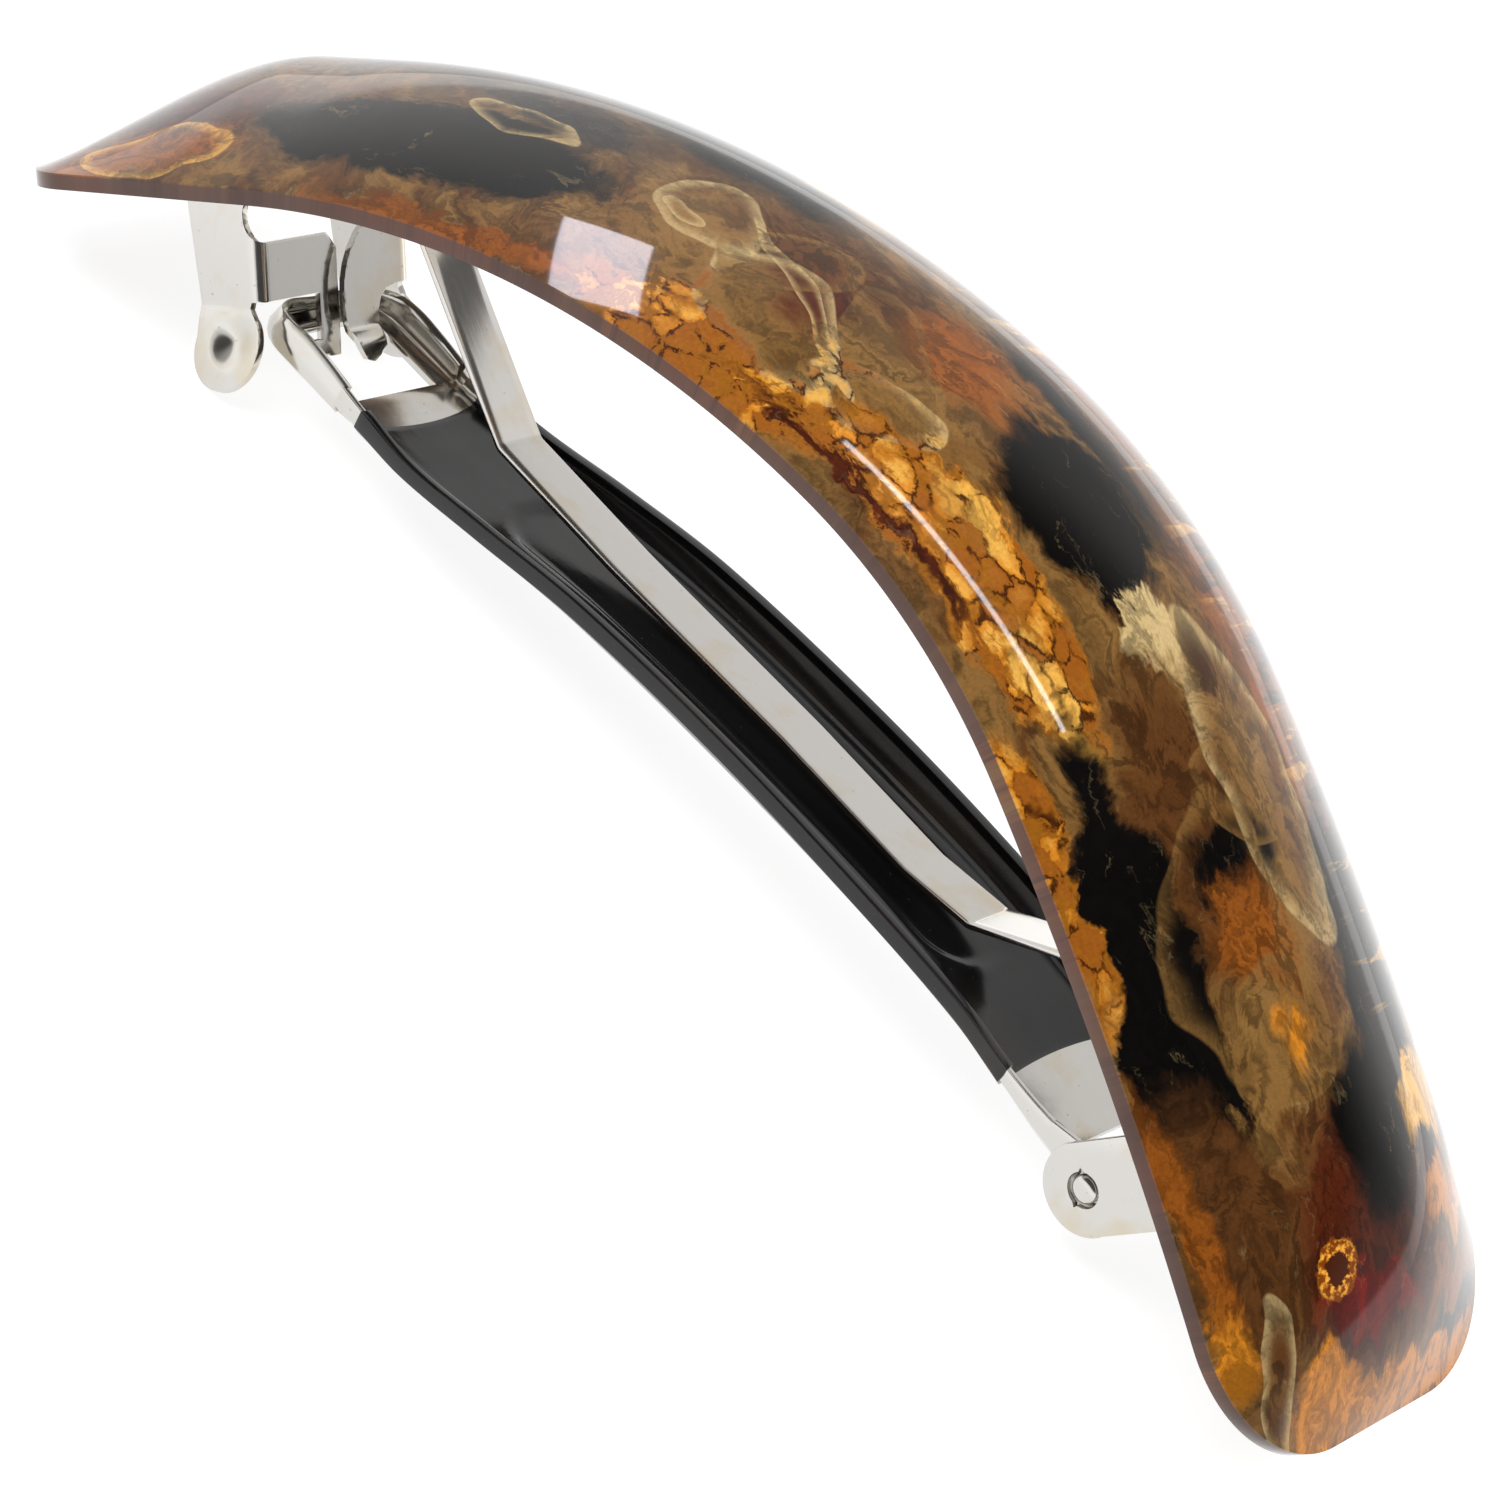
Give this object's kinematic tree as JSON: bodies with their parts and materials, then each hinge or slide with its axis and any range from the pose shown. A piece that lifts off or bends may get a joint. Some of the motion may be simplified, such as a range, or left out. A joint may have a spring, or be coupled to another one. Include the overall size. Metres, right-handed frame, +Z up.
{
  "type": "barrette",
  "caption": "French hair barrette: a domed tortoiseshell acetate bar on a steel clasp with a hinged black-coated arm, a bow spring and squeeze latch wings.",
  "frame": {"origin": "middle of the bounding box's underside, on the floor that the clasp's paddles touch", "axes": "+X along the bar towards the clasp's hinge end, +Y across the bar, +Z up through the domed side"},
  "size_m": [0.1018, 0.0232, 0.033],
  "materials": {
    "tortoiseshell_acetate": "polished translucent acetate with amber, red-brown, black and olive swirls",
    "nickel_steel": "bright nickel plate on pressed steel",
    "spring_steel": "nickel-plated rolled spring strip with faint lengthwise grain",
    "black_coating": "smooth glossy black dipped coating"
  },
  "bodies": {
    "clasp_base": {"shell": "tortoiseshell_acetate", "base_plate": "nickel_steel", "hinge_pin": "nickel_steel", "bow_spring": "spring_steel"},
    "near_latch_wing": {"near_wing": "nickel_steel"},
    "far_latch_wing": {"far_wing": "nickel_steel"},
    "clasp_arm": {"arm": "nickel_steel", "arm_coating": "black_coating"}
  },
  "joints": [
    {"name": "arm_hinge", "type": "hinge", "parent": "clasp_base", "child": "clasp_arm", "pos_m": [0.03329, 0, 0.00456], "axis": [0, -1, 0], "range_deg": [0, 100]},
    {"name": "near_wing_squeeze", "type": "hinge", "parent": "clasp_base", "child": "near_latch_wing", "pos_m": [-0.03919, -0.0054, 0.01039], "axis": [0.8168, 0, 0.577], "range_deg": [0, 4.5], "stiffness_Nm_per_rad": 0.2},
    {"name": "far_wing_squeeze", "type": "hinge", "parent": "clasp_base", "child": "far_latch_wing", "pos_m": [-0.03919, 0.0054, 0.01039], "axis": [-0.8168, 0, -0.577], "range_deg": [0, 4.5], "stiffness_Nm_per_rad": 0.2}
  ]
}
